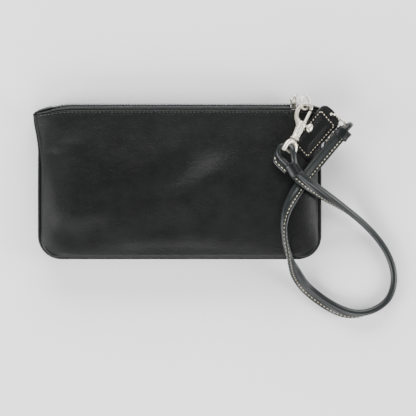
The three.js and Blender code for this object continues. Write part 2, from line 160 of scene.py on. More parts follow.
def slack(x, y, seed):
    """Low folds and fine puckers that soft leather keeps, in millimetres."""
    broad = noise.noise(Vector((x / 46, y / 30, seed)))
    ripple = noise.noise(Vector((x / 15 + 0.4 * y / 15, y / 22, seed + 5)))
    to_edge = min(half_width(y, SEAM_INSET) - abs(x), y - BOTTOM - SEAM_INSET)
    pucker = noise.noise(Vector((x / 5, y / 5, seed + 9))) * math.exp(-max(0.0, to_edge) / 5)
    return 0.55 * broad + 0.12 * ripple + 0.16 * pucker


def front_face(x, y):
    """The front face with its creases, rounded over at its edge and turned in at the zip."""
    to_edge = min(panel_half(y) - abs(x), y - BOTTOM - PANEL_INSET)
    keep = smooth(to_edge, 1, 12)
    z = front_height(x, y) + keep * slack(x, y, 3)
    for fold in FOLDS:
        z += keep * crease(x, y, *fold)
    near = 1 - min(1.0, max(0.0, to_edge / EDGE_ROUND))
    z -= EDGE_ROUND * (1 - math.sqrt(max(0.0, 1 - near ** 2)))
    z -= 0.5 * smooth(y, TOP - 1.2, TOP) + 0.22 * hump(y, TOP - 2.6, 0.5)
    return z


def settle(bm):
    """How the empty pouch lies: its top corners droop and its left half spreads a little."""
    for vert in bm.verts:
        x, y = vert.co.x, vert.co.y
        droop = 2.8 * smooth(-x, 74, 104) + 1.3 * smooth(x, 84, 104)
        vert.co.y -= droop * smooth(y, TOP - 26, TOP - 1)
        vert.co.x -= 1.9 * smooth(-x, 0, 97)


# ---------------------------------------------------------------- mesh helpers
def put_together(name, bm, look):
    """Writes a bmesh made in millimetres to an object in metres."""
    bmesh.ops.scale(bm, vec=Vector((METRES,) * 3), verts=bm.verts)
    mesh = bpy.data.meshes.new(name)
    bm.to_mesh(mesh)
    bm.free()
    for face in mesh.polygons:
        face.use_smooth = True
    piece = bpy.data.objects.new(name, mesh)
    bpy.context.scene.collection.objects.link(piece)
    mesh.materials.append(look)
    return piece


def finish(name, bm, look, body, slot, *nodes):
    """Makes the piece, hangs it on its body and hides the CAD nodes it stands for. The slot is not used."""
    piece = put_together(name, bm, look)
    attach(piece, body)
    if nodes:
        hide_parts(*nodes)


def points_out(bm):
    bmesh.ops.recalc_face_normals(bm, faces=bm.faces)


def add_wall(bm, offset):
    """Gives an open sheet a second face at an offset and closes its rim."""
    made = bmesh.ops.extrude_face_region(bm, geom=list(bm.faces))["geom"]
    bmesh.ops.translate(bm, vec=offset, verts=[item for item in made if isinstance(item, bmesh.types.BMVert)])
    points_out(bm)


def move(bm, matrix):
    bmesh.ops.transform(bm, matrix=matrix, verts=bm.verts)


def axes(x, y, z):
    return Matrix((x, y, z)).transposed().to_4x4()


def turned(forward, up):
    """A frame whose Y runs along forward and whose Z lies towards up."""
    forward = Vector(forward).normalized()
    side = forward.cross(Vector(up)).normalized()
    return axes(side, forward, side.cross(forward))


def placed(position, basis=None):
    return Matrix.Translation(Vector(position)) @ (basis if basis else Matrix.Identity(4))


def oval(high, wide, sides):
    """Points of an oval section: wide across, high up."""
    turns = [2 * math.pi * k / sides for k in range(sides)]
    return [Vector((wide * math.cos(a), 0, high * math.sin(a))) for a in turns]


def sweep(bm, stations, section, closed=False):
    """Draws a section out along a list of placed frames and closes its ends."""
    ring = [bm.verts.new(stations[0] @ point) for point in section]
    first = edges = [bm.edges.new((a, b)) for a, b in zip(ring, ring[1:] + ring[:1])]
    for before, after in zip(stations, stations[1:]):
        made = bmesh.ops.extrude_edge_only(bm, edges=edges)["geom"]
        fresh = {item for item in made if isinstance(item, bmesh.types.BMVert)}
        edges = [item for item in made if isinstance(item, bmesh.types.BMEdge)
                 and item.verts[0] in fresh and item.verts[1] in fresh]
        bmesh.ops.transform(bm, matrix=after @ before.inverted(), verts=list(fresh))
    if closed:
        bmesh.ops.bridge_loops(bm, edges=first + edges)
    else:
        bmesh.ops.contextual_create(bm, geom=first)
        bmesh.ops.contextual_create(bm, geom=edges)
    points_out(bm)


def spline(points, steps, closed=False):
    """Evenly stepped points on a smooth curve through the given ones."""
    pts = [Vector(p) for p in points]
    count = len(pts)
    spans = count if closed else count - 1

    def at(k):
        return pts[k % count] if closed else pts[min(max(k, 0), count - 1)]

    dense = []
    for span in range(spans):
        a, b, c, d = at(span - 1), at(span), at(span + 1), at(span + 2)
        for part in range(24):
            t = part / 24
            dense.append(0.5 * (2 * b + (c - a) * t + (2 * a - 5 * b + 4 * c - d) * t * t
                                + (3 * b - a - 3 * c + d) * t ** 3))
    dense.append(at(0) if closed else pts[-1])
    lengths = [0.0]
    for p, q in zip(dense, dense[1:]):
        lengths.append(lengths[-1] + (q - p).length)
    out = []
    k = 0
    stops = steps if closed else steps + 1
    for stop in range(stops):
        want = lengths[-1] * stop / steps
        while k < len(lengths) - 2 and lengths[k + 1] < want:
            k += 1
        mix = (want - lengths[k]) / max(1e-9, lengths[k + 1] - lengths[k])
        out.append(dense[k].lerp(dense[k + 1], min(1.0, max(0.0, mix))))
    return out


def along(points, up=(0, 0, 1), closed=False):
    """Frames that follow the points, each with its Z towards up."""
    count = len(points)
    out = []
    for k, point in enumerate(points):
        before = points[k - 1] if k or closed else point
        after = points[(k + 1) % count] if k < count - 1 or closed else point
        lift = up[k] if isinstance(up, list) else up
        out.append(placed(point, turned(after - before, lift)))
    return out


def wire(bm, points, radius, sides=14, closed=False, up=(0, 0, 1), radii=None):
    stations = along(points, up, closed)
    if radii:
        stations = [s @ Matrix.Scale(r / radius, 4) for s, r in zip(stations, radii)]
    sweep(bm, stations, oval(radius, radius, sides), closed)


def box(bm, size, place, bevel=0.0, segments=2):
    """A block with rounded edges."""
    made = bmesh.ops.create_cube(bm, size=1, matrix=place @ Matrix.Diagonal((*size, 1)))
    if bevel:
        edges = list({edge for vert in made["verts"] for edge in vert.link_edges})
        bmesh.ops.bevel(bm, geom=edges, offset=bevel, segments=segments, profile=0.5,
                        affect="EDGES", material=-1)


def grain_of_rice(bm, place, long, thick):
    """One visible stitch: a short rounded run of thread."""
    bmesh.ops.create_uvsphere(bm, u_segments=8, v_segments=6, radius=1,
                              matrix=place @ Matrix.Diagonal((thick, long / 2, thick * 0.8, 1)))


def stitches(bm, points, pitch, thick, up, share=0.72):
    """Stitches along a line of points, one every pitch."""
    total = sum((b - a).length for a, b in zip(points, points[1:]))
    count = max(1, round(total / pitch))
    stops = spline(points, count * 4) if len(points) > 2 else [
        points[0].lerp(points[-1], k / (count * 4)) for k in range(count * 4 + 1)]
    for k in range(count):
        a, m, b = stops[4 * k + 1], stops[4 * k + 2], stops[4 * k + 3]
        lift = up[min(len(up) - 1, int((4 * k + 2) / (4 * count) * len(up)))] if isinstance(up, list) else up
        grain_of_rice(bm, placed(m, turned(b - a, lift)), pitch * share, thick)


# ---------------------------------------------------------------- material helpers
def new_group(name, inputs, outputs):
    group = bpy.data.node_groups.new(name, "ShaderNodeTree")
    for label, value in inputs:
        socket = group.interface.new_socket(label, in_out="INPUT", socket_type="NodeSocketFloat")
        socket.default_value = value
    for label in outputs:
        group.interface.new_socket(label, in_out="OUTPUT", socket_type="NodeSocketFloat")
    return group, group.nodes.new("NodeGroupInput"), group.nodes.new("NodeGroupOutput")


def math_node(tree, kind, a, b=None, c=None):
    made = tree.nodes.new("ShaderNodeMath")
    made.operation = kind
    for socket, value in zip(made.inputs, (a, b, c)):
        if value is None:
            continue
        if isinstance(value, (int, float)):
            socket.default_value = value
        else:
            tree.links.new(value, socket)
    return made.outputs[0]


def pattern(tree, kind, vector, scale, **settings):
    """A texture node on a vector. Scale is in repeats per metre."""
    made = tree.nodes.new(kind)
    for key, value in settings.items():
        if hasattr(made, key):
            setattr(made, key, value)
        else:
            made.inputs[key].default_value = value
    if isinstance(scale, (int, float)):
        made.inputs["Scale"].default_value = scale
    else:
        tree.links.new(scale, made.inputs["Scale"])
    tree.links.new(vector, made.inputs["Vector"])
    return made


def stretched(tree, vector, scale, turn=(0, 0, 0)):
    mapping = tree.nodes.new("ShaderNodeMapping")
    mapping.inputs["Scale"].default_value = scale
    mapping.inputs["Rotation"].default_value = turn
    tree.links.new(vector, mapping.inputs["Vector"])
    return mapping.outputs[0]


def object_place(tree):
    return tree.nodes.new("ShaderNodeTexCoord").outputs["Object"]


def feed(node, **sources):
    """Links each source to the node's input of that name."""
    for label, source in sources.items():
        node.id_data.links.new(source, node.inputs[label.replace("_", " ")])


def make_leather_group():
    """Pebbled pores, fine wrinkles and slow changes of tone and polish."""
    group, given, out = new_group("leather surface", [("Pore Scale", 900.0), ("Wrinkle", 0.35)],
                                  ["Height", "Tone", "Polish"])
    place = object_place(group)
    cells = pattern(group, "ShaderNodeTexVoronoi", place, given.outputs["Pore Scale"],
                    feature="DISTANCE_TO_EDGE", Randomness=0.9)
    pores = math_node(group, "MINIMUM", math_node(group, "MULTIPLY", cells.outputs["Distance"], 5), 1)
    fine = pattern(group, "ShaderNodeTexNoise", place, 2400, Detail=3.0)
    drawn = stretched(group, place, (1, 1.7, 1), (0, 0, 0.5))
    wrinkles = pattern(group, "ShaderNodeTexNoise", drawn, 160, Detail=5.0, Roughness=0.6, Distortion=0.8)
    folded = math_node(group, "ABSOLUTE", math_node(group, "SUBTRACT", wrinkles.outputs["Fac"], 0.5))
    lines = math_node(group, "MINIMUM", math_node(group, "MULTIPLY", folded, 14), 1)
    base = math_node(group, "MULTIPLY", pores, 0.45)
    base = math_node(group, "ADD", base, math_node(group, "MULTIPLY", fine.outputs["Fac"], 0.25))
    slow = pattern(group, "ShaderNodeTexNoise", place, 22, Detail=4.0, Roughness=0.55)
    handled = pattern(group, "ShaderNodeTexNoise", place, 60, Detail=6.0, Roughness=0.65)
    feed(out, Height=math_node(group, "MULTIPLY_ADD", lines, given.outputs["Wrinkle"], base),
         Tone=slow.outputs["Fac"], Polish=handled.outputs["Fac"])
    return group


def make_weave_group():
    """Over-and-under threads: two crossed waves, offset by row."""
    group, given, out = new_group("weave", [("Threads", 1600.0)], ["Height", "Tone"])
    place = object_place(group)
    warp, weft = (pattern(group, "ShaderNodeTexWave", stretched(group, place, (1, 1, 1), turn),
                          given.outputs["Threads"], bands_direction="X").outputs["Fac"]
                  for turn in ((0, 0, 0.785), (0.3, 0, -0.785)))
    slubs = pattern(group, "ShaderNodeTexNoise", place, 420, Detail=3.0)
    feed(out, Height=math_node(group, "MAXIMUM", warp, weft), Tone=slubs.outputs["Fac"])
    return group


def make_handling_group():
    """Rubbed smears and hairline scratches on metal."""
    group, given, out = new_group("handling marks", [("Smears", 70.0)], ["Smear", "Scratch"])
    place = object_place(group)
    smear = pattern(group, "ShaderNodeTexNoise", place, given.outputs["Smears"], Detail=1.0, Roughness=0.5)
    hair = pattern(group, "ShaderNodeTexNoise", stretched(group, place, (1, 6, 3), (0.4, 0.2, 0.9)), 220,
                   Detail=2.0)
    feed(out, Smear=smear.outputs["Fac"], Scratch=hair.outputs["Fac"])
    return group


LEATHER_SURFACE = make_leather_group()
WEAVE = make_weave_group()
HANDLING = make_handling_group()


def start_material(name, **fixed):
    look = bpy.data.materials.new(name)
    look.use_nodes = True
    tree = look.node_tree
    shader = tree.nodes["Principled BSDF"]
    for label, value in fixed.items():
        shader.inputs[label.replace("_", " ")].default_value = value
    return look, tree, shader


def use_group(tree, group, **values):
    made = tree.nodes.new("ShaderNodeGroup")
    made.node_tree = group
    for label, value in values.items():
        made.inputs[label.replace("_", " ")].default_value = value
    return made.outputs


def tones(tree, value, dark, light, low=0.3, high=0.7):
    """A value drawn out from a dark colour to a light one."""
    made = tree.nodes.new("ShaderNodeValToRGB")
    for end, position, colour in zip(made.color_ramp.elements, (low, high), (dark, light)):
        end.position = position
        end.color = (*colour, 1)
    feed(made, Fac=value)
    return made.outputs["Color"]


def mapped(tree, value, low, high):
    made = tree.nodes.new("ShaderNodeMapRange")
    for label, number in (("From Min", 0.3), ("From Max", 0.7), ("To Min", low), ("To Max", high)):
        made.inputs[label].default_value = number
    feed(made, Value=value)
    return made.outputs["Result"]


def bump(tree, shader, height, distance, strength=1.0):
    made = tree.nodes.new("ShaderNodeBump")
    made.inputs["Distance"].default_value = distance
    made.inputs["Strength"].default_value = strength
    feed(made, Height=height)
    feed(shader, Normal=made.outputs["Normal"])


def leather(name, dark, light, rough, shine, pore=900.0, wrinkle=0.4, depth=0.00009):
    look, tree, shader = start_material(name, Specular_IOR_Level=shine)
    surface = use_group(tree, LEATHER_SURFACE, Pore_Scale=pore, Wrinkle=wrinkle)
    feed(shader, Base_Color=tones(tree, surface["Tone"], dark, light, 0.32, 0.68),
         Roughness=mapped(tree, surface["Polish"], rough - 0.07, rough + 0.08))
    bump(tree, shader, surface["Height"], depth)
    return look


def thread(name, dark, light):
    look, tree, shader = start_material(name, Roughness=0.62, Sheen_Weight=0.3)
    place = object_place(tree)
    tone = pattern(tree, "ShaderNodeTexNoise", place, 700, Detail=3.0)
    feed(shader, Base_Color=tones(tree, tone.outputs["Fac"], dark, light))
    ply = pattern(tree, "ShaderNodeTexWave", place, 2200, bands_direction="DIAGONAL", Distortion=1.5)
    bump(tree, shader, ply.outputs["Fac"], 0.00008)
    return look


def fabric(name, dark, light, threads, sheen):
    look, tree, shader = start_material(name, Roughness=0.85, Sheen_Weight=sheen)
    weave = use_group(tree, WEAVE, Threads=threads)
    feed(shader, Base_Color=tones(tree, weave["Tone"], dark, light))
    bump(tree, shader, weave["Height"], 0.00012)
    return look


def plated(name, colour, shade, rough):
    look, tree, shader = start_material(name, Metallic=0.66)
    marks = use_group(tree, HANDLING)
    feed(shader, Base_Color=tones(tree, marks["Smear"], shade, colour, 0.3, 0.6),
         Roughness=mapped(tree, marks["Smear"], rough + 0.08, rough - 0.03))
    bump(tree, shader, marks["Scratch"], 0.000004, 0.3)
    return look


def coil_plastic(name, dark, light):
    look, tree, shader = start_material(name, Coat_Weight=0.2)
    tone = pattern(tree, "ShaderNodeTexNoise", object_place(tree), 900, Detail=2.0).outputs["Fac"]
    feed(shader, Base_Color=tones(tree, tone, dark, light), Roughness=mapped(tree, tone, 0.25, 0.45))
    return look


POUCH_LEATHER = leather("pouch leather", (0.0045, 0.0050, 0.0046), (0.0083, 0.0091, 0.0085), 0.4, 0.2)
TRIM_LEATHER = leather("trim leather", (0.0055, 0.0064, 0.0062), (0.0105, 0.012, 0.0117), 0.34, 0.35,
                       pore=1300)
# Painted shade: the piping leather is coloured darker than the pouch leather to stand for the shade in the
# seam's groove.
PIPING_LEATHER_PAINTED_SHADE = leather("piping leather with painted shade", (0.0030, 0.0036, 0.0035), (0.0062, 0.0071, 0.0069), 0.38, 0.16,
                         pore=1300)
STRAP_LEATHER = leather("strap leather", (0.0068, 0.0084, 0.0084), (0.0120, 0.0146, 0.0146), 0.38, 0.4,
                        pore=1500, wrinkle=0.15, depth=0.00002)
# Painted shade: a darker copy of the strap leather, for the keepers and the strap's end at the D-ring.
STRAP_LEATHER_WITH_PAINTED_SHADE = leather("strap leather with painted shade", (0.0046, 0.0055, 0.0056), (0.0086, 0.0102, 0.0103), 0.3, 0.3,
                         pore=1500, wrinkle=0.2, depth=0.00003)
TAG_LEATHER = leather("tag leather", (0.004, 0.0042, 0.0042), (0.0075, 0.008, 0.008), 0.3, 0.5,
                      pore=1400, wrinkle=0.2, depth=0.00003)
BLACK_THREAD = thread("black thread", (0.011, 0.011, 0.010), (0.026, 0.025, 0.023))
CREAM_THREAD = thread("cream thread", (0.42, 0.36, 0.25), (0.66, 0.6, 0.46))
LINING_FABRIC = fabric("lining fabric", (0.1, 0.095, 0.085), (0.15, 0.145, 0.13), 1500, 0.3)
ZIP_TAPE = fabric("zip tape", (0.003, 0.0035, 0.004), (0.008, 0.0085, 0.01), 2200, 0.03)
ZIP_COIL = coil_plastic("zip coil", (0.004, 0.006, 0.009), (0.012, 0.017, 0.024))
NICKEL = plated("polished nickel", (0.68, 0.645, 0.56), (0.47, 0.44, 0.365), 0.27)


# ---------------------------------------------------------------- stage, light and camera
def stage_floor():
    bm = bmesh.new()
    bmesh.ops.create_grid(bm, x_segments=1, y_segments=1, size=2500)
    look, tree, shader = start_material("pale table", Roughness=0.7)
    tone = pattern(tree, "ShaderNodeTexNoise", object_place(tree), 3, Detail=2.0)
    feed(shader, Base_Color=tones(tree, tone.outputs["Fac"], (0.9, 0.9, 0.9), (0.94, 0.94, 0.94)))
    floor = put_together("floor", bm, look)


def area_light(name, position, size, watts):
    """A softbox that looks at the wallet."""
    data = bpy.data.lights.new(name, "AREA")
    data.shape = "RECTANGLE"
    data.size, data.size_y = size
    data.energy = watts
    lamp = bpy.data.objects.new(name, data)
    look_at = (-Vector(position)).to_track_quat("-Z", "Y")
    lamp.matrix_world = placed(position) @ look_at.to_matrix().to_4x4()
    bpy.context.scene.collection.objects.link(lamp)


def light_studio():
    """Four softboxes low round the table and a dim room, so that level leather stays dark."""
    world = bpy.data.worlds.new("studio")
    world.use_nodes = True
    sky = world.node_tree.nodes["Background"].inputs
    sky["Color"].default_value = (0.95, 0.97, 1, 1)
    sky["Strength"].default_value = 0.2
    bpy.context.scene.world = world
    area_light("left softbox", (-1.15, -0.45, 0.6), (0.7, 1.2), 28)
    area_light("top softbox", (-0.1, 1.2, 0.62), (1.4, 0.6), 34)
    area_light("right softbox", (1.2, -0.1, 0.5), (0.6, 1.2), 22)
    area_light("near softbox", (-0.1, -1.2, 0.75), (1.3, 0.6), 23)


def set_camera():
    """Straight above, at the distance where the picture is view_side metres wide at the pouch's front."""
    view_side = 0.2912
    distance = 1.5
    centre = Vector((0.0189, -0.0186, 0.018))
    data = bpy.data.cameras.new("camera")
    data.sensor_width = 36
    data.lens = 36 * distance / view_side
    data.clip_end = 20
    camera = bpy.data.objects.new("camera", data)
    camera.location = centre + Vector((0, 0, distance))
    bpy.context.scene.collection.objects.link(camera)
    bpy.context.scene.camera = camera


set_camera()
light_studio()
stage_floor()


# ---------------------------------------------------------------- pouch
def panel_rows(inset, rows):
    """Heights of the rows of a panel: close together round its bottom corners."""
    radius = CORNER - inset
    round_rows = 22
    start = BOTTOM + inset
    heights = [start + radius * (1 - math.cos(k / round_rows * math.pi / 2)) for k in range(round_rows + 1)]
    rest = rows - round_rows
    return heights + [heights[-1] + (TOP - heights[-1]) * k / rest for k in range(1, rest + 1)]


def panel(inset, half_at, columns, rows, face):
    """A leather panel: a grid shaped to the outline and to a height over (x, y)."""
    bm = bmesh.new()
    bmesh.ops.create_grid(bm, x_segments=columns, y_segments=rows, size=1)
    heights = panel_rows(inset, rows)
    for vert in bm.verts:
        y = heights[round((vert.co.y + 1) / 2 * rows)]
        x = math.sin(vert.co.x * math.pi / 2) * half_at(y)
        vert.co = Vector((x, y, face(x, y)))
    return bm


def make_front_panel():
    bm = panel(PANEL_INSET, panel_half, 240, 130, front_face)
    add_wall(bm, (0, 0, -LEATHER))
    settle(bm)
    finish("front_leather", bm, POUCH_LEATHER, "pouch", "pouch_leather", "front_panel")


def make_back_panel():
    def back_face(x, y):
        to_edge = min(half_width(y, BACK_INSET) - abs(x), y - BOTTOM - BACK_INSET)
        return 0.06 + 0.16 * max(0.0, slack(x, y, 17)) + 0.75 * math.exp(-max(0.0, to_edge) / 0.6)

    bm = panel(BACK_INSET, lambda y: half_width(y, BACK_INSET), 150, 80, back_face)
    add_wall(bm, (0, 0, LEATHER - 0.2))
    settle(bm)
    finish("back_leather", bm, POUCH_LEATHER, "pouch", "pouch_leather", "back_panel")


def seam_path(inset, steps):
    """Points down the left side, along the bottom and up the right side, on the outline moved in."""
    radius = CORNER - inset
    side = [Vector((half_width(TOP + (BOTTOM + CORNER - TOP) * k / 30, inset),
                    TOP + (BOTTOM + CORNER - TOP) * k / 30, 0)) for k in range(31)]
    turn = [Vector((SIDE_HALF - CORNER + radius * math.cos(a), BOTTOM + CORNER - radius * math.sin(a), 0))
            for a in (k / 10 * math.pi / 2 for k in range(1, 11))]
    right = side + turn
    left = [Vector((-p.x, p.y, 0)) for p in right]
    bottom = [Vector((left[-1].x * (1 - 2 * k / steps), BOTTOM + inset, 0)) for k in range(1, steps)]
    return left + bottom + right[::-1]


def make_piping(name, node, height_at):
    bm = bmesh.new()
    path = [p + Vector((0, 0, height_at(p.y))) for p in seam_path(PIPING_RADIUS + 0.05, 60)]
    path = [p + Vector((0, 0, 0.12 * noise.noise(p / 9))) for p in path]
    ends = len(path) - 1
    thick = [PIPING_RADIUS * (0.45 + 0.55 * smooth(min(k, ends - k), 0, 3)) for k in range(ends + 1)]
    wire(bm, path, PIPING_RADIUS, sides=14, radii=thick)
    settle(bm)
    # Painted shade: the piping is coloured darker than the pouch leather.
    finish(name, bm, PIPING_LEATHER_PAINTED_SHADE, "pouch", "pouch_leather", node)


def make_gusset():
    """The upright band between the two rows of piping, swelling a little in the middle."""
    path = seam_path(0.9, 90)
    across = 8
    bm = bmesh.new()
    low = 2 * PIPING_RADIUS + 0.2
    bmesh.ops.create_grid(bm, x_segments=len(path) - 1, y_segments=across, size=1)
    frames = along(path)
    for vert in bm.verts:
        k = round((vert.co.x + 1) / 2 * (len(path) - 1))
        t = (vert.co.y + 1) / 2
        outward = frames[k].col[0].to_3d().normalized()
        high = seam_height(path[k].y) - 2 * PIPING_RADIUS - 0.1
        z = low + (high - low) * t
        uneven = noise.noise(Vector((path[k].x / 14, path[k].y / 14, z / 9)))
        swell = 0.55 * math.sin(math.pi * t) + 0.3 * uneven
        vert.co = path[k] + outward * swell + Vector((0, 0, z))
    points_out(bm)
    bmesh.ops.solidify(bm, geom=list(bm.faces), thickness=GUSSET_LEATHER)
    points_out(bm)
    settle(bm)
    finish("gusset", bm, TRIM_LEATHER, "pouch", "pouch_leather", "gusset_band")


def make_top_stitches():
    """The tonal stitch line below each panel's turned top edge."""
    bm = bmesh.new()
    row = TOP - 1.9
    span = half_width(row, SEAM_INSET) - 2
    count = int(2 * span / 2.7)
    for k in range(count):
        x = -span + (k + 0.5) * 2 * span / count
        z = front_face(x, row)
        grain_of_rice(bm, placed((x, row, z + 0.06), turned((1, 0, 0), (0, 0, 1))), 2.0, 0.28)
        grain_of_rice(bm, placed((x, row, 0.16), turned((1, 0, 0), (0, 0, -1))), 2.0, 0.2)
    settle(bm)
    finish("top_edge_stitches", bm, BLACK_THREAD, "pouch", "pouch_leather")


def make_rolled_edge(name, height_at, drop):
    """The top edge of a panel, turned over a cord and glossy from handling."""
    row = TOP + 1.35
    span = half_width(TOP, SEAM_INSET) - 0.4
    path = [Vector((-span + 2 * span * k / 120, row, height_at(-span + 2 * span * k / 120) + drop))
            for k in range(121)]
    path = [p + Vector((0, 0.12 * noise.noise(p / 13) - 1.6 * abs(p.x / span) ** 5, 0)) for p in path]
    bm = bmesh.new()
    sweep(bm, along(path), oval(0.66, 0.62, 16))
    settle(bm)
    finish(name, bm, TRIM_LEATHER, "pouch", "pouch_leather")


make_front_panel()
make_back_panel()
make_rolled_edge("front_top_edge", lambda x: front_face(x, TOP), 0.1)
make_rolled_edge("back_top_edge", lambda x: 0.06, 1.0)
make_piping("front_welt", "front_piping", lambda y: seam_height(y) - PIPING_RADIUS - 1.1)
make_piping("back_welt", "back_piping", lambda y: PIPING_RADIUS + 0.12)
make_gusset()
make_top_stitches()


# ---------------------------------------------------------------- zip
TEETH_LOW, TEETH_HIGH = corners("zip_teeth_front")
FRONT_HINGE, _ = joint("mouth_front")
BACK_HINGE, _ = joint("mouth_back")
ZIP_MIDDLE = (FRONT_HINGE.z + BACK_HINGE.z) / 2
ZIP_RIDGE = (TEETH_LOW.y + TEETH_HIGH.y) / 2 + 0.3
SLIDER_LOW, SLIDER_HIGH = corners("slider")
TOOTH_PITCH = 2.0  # on one side; the two sides mesh
END_TEETH = 7.0  # how far the teeth run past the opening at the left
BLEND = 42.0  # length of each of the zip's two end stretches, which stay fixed


def tooth(bm, x, y, side, long, tall):
    """One tooth, leaning out from the middle of the zip to its front (+1) or back (-1) side."""
    place = placed((x, y, ZIP_MIDDLE + side * 0.75), turned((0.12, 0.1, -side), (0, 1, 0)))
    bmesh.ops.create_uvsphere(bm, u_segments=8, v_segments=6, radius=1,
                              matrix=place @ Matrix.Diagonal((0.26, long, tall, 1)))


def zip_strip(side, x0, x1):
    """One stretch of tape with its cord and teeth, on the front (+1) or back (-1) side."""
    hinge = FRONT_HINGE if side > 0 else BACK_HINGE
    tape = bmesh.new()
    columns = max(2, int((x1 - x0) / 2))
    bmesh.ops.create_grid(tape, x_segments=columns, y_segments=5, size=1)
    edge_z = ZIP_MIDDLE + side * 1.7
    for vert in tape.verts:
        t = (vert.co.y + 1) / 2
        x = x0 + (x1 - x0) * (vert.co.x + 1) / 2
        y = hinge.y - 0.3 + (ZIP_RIDGE - 0.2 - hinge.y) * math.sin(t * math.pi / 2)
        z = hinge.z + (edge_z - hinge.z) * t
        vert.co = Vector((x, y + 0.08 * noise.noise(Vector((x / 7, t, side))), z))
    add_wall(tape, (0, -0.55, -0.25 * side))

    coil = bmesh.new()
    shift = 0.5 * TOOTH_PITCH if side > 0 else 0.0
    for k in range(int((x1 - x0) / TOOTH_PITCH)):
        tooth(coil, x0 + (k + 0.15) * TOOTH_PITCH + shift, ZIP_RIDGE + 0.4, side, 1.5, 0.95)
    cord = [Vector((x0 + (x1 - x0) * k / columns, ZIP_RIDGE - 0.2, ZIP_MIDDLE + side * 2.0))
            for k in range(columns + 1)]
    wire(coil, cord, 0.5, sides=10)
    settle(tape)
    settle(coil)
    return tape, coil


def make_zip_side(side, tag, body, nodes):
    """The tape and teeth of one side, in three stretches: the middle one hangs on the side's body, the two
    ends stay fixed.
    """
    x0, x1 = TEETH_LOW.x - END_TEETH, TEETH_HIGH.x
    stretches = [("left", x0, x0 + BLEND, x0, x0 + BLEND),
                 ("mid", x0 + BLEND, x1 - BLEND, 0, 0),
                 ("right", x1 - BLEND, SLIDER_LOW.x, SLIDER_LOW.x, x1 - BLEND)]
    for label, a, b, start, end in stretches:
        for bm, look, slot, node, kind in zip(zip_strip(side, a, b), (ZIP_TAPE, ZIP_COIL),
                                              ("zip_tape", "zip_teeth"), nodes, ("tape", "teeth")):
            piece = put_together(f"zip_{kind}_{tag}_{label}", bm, look)
            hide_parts(node)
            if label == "mid":
                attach(piece, body)
            else:
                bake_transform(piece)


make_zip_side(1, "front", "zip_front_side", ("zip_tape_front", "zip_teeth_front"))
make_zip_side(-1, "back", "zip_back_side", ("zip_tape_back", "zip_teeth_back"))


def make_zip_end(node, piece_name, towards):
    """The zip's fixed end: tape with its last teeth, running under the leather tab."""
    low, high = corners(node)
    bm = bmesh.new()
    start = TEETH_LOW.x - END_TEETH if towards < 0 else SLIDER_HIGH.x
    end = low.x - 1 if towards < 0 else high.x + 1
    centre = Vector(((start + end) / 2, (low.y + high.y) / 2, ZIP_MIDDLE))
    box(bm, (abs(end - start), 2.6, high.z - low.z + 2.5), placed(centre + Vector((0, 0.6, 0))), 0.5)
    settle(bm)
    finish(piece_name, bm, ZIP_TAPE, "pouch", "zip_tape", node)
    coil = bmesh.new()
    first = start if towards < 0 else start + 0.4
    last = low.x if towards < 0 else high.x
    for k in range(int(abs(last - first) / TOOTH_PITCH)):
        x = first + towards * (k + 0.5) * TOOTH_PITCH
        for side in (1, -1):
            tooth(coil, x + side * TOOTH_PITCH / 4, ZIP_RIDGE + 0.2, side, 1.4, 0.9)
    settle(coil)
    finish(piece_name + "_teeth", coil, ZIP_COIL, "pouch", "zip_teeth")


def make_tab(node, name):
    """Leather folded over the zip's end, pinched flat and drooping to the pouch's corner."""
    low, high = corners(node)
    towards = 1 if low.x > 0 else -1
    near = (low.x if towards > 0 else high.x) - towards * 3.5
    run = [(0, 2.4, 1.0, 5.6), (0.6, 2.5, 1.5, 6.3), (3, 2.4, 1.6, 6.4), (6, 2.1, 1.5, 6.3),
           (9, 1.5, 1.3, 6.0), (11.8, 0.5, 1.0, 5.4), (13.2, -0.4, 0.5, 4.4)]
    middles = [Vector((near + towards * out, TOP + up, ZIP_MIDDLE)) for out, up, _, _ in run]
    stations = [station @ Matrix.Diagonal((thin, 1, tall, 1))
                for station, (_, _, thin, tall) in zip(along(middles), run)]
    bm = bmesh.new()
    sweep(bm, stations, oval(1, 1, 24))
    for vert in bm.verts:
        vert.co += 0.12 * noise.noise(vert.co / 3) * Vector((0, 1, 1))
    settle(bm)
    finish(name, bm, TRIM_LEATHER, "pouch", "pouch_leather", node)


def make_stop(node, name):
    low, high = corners(node)
    bm = bmesh.new()
    box(bm, high - low, placed((low + high) / 2), 0.45, 3)
    settle(bm)
    finish(name, bm, NICKEL, "pouch", "nickel", node)


make_zip_end("zip_end_left", "zip_end_tape_left", -1)
make_zip_end("zip_end_right", "zip_end_tape_right", 1)
make_tab("zip_tab_left", "zip_tab_leather_left")
make_tab("zip_tab_right", "zip_tab_leather_right")
make_stop("bottom_stop", "bottom_stop_metal")
make_stop("top_stop", "top_stop_metal")

PULL_PIVOT, _ = joint("pull_turn")


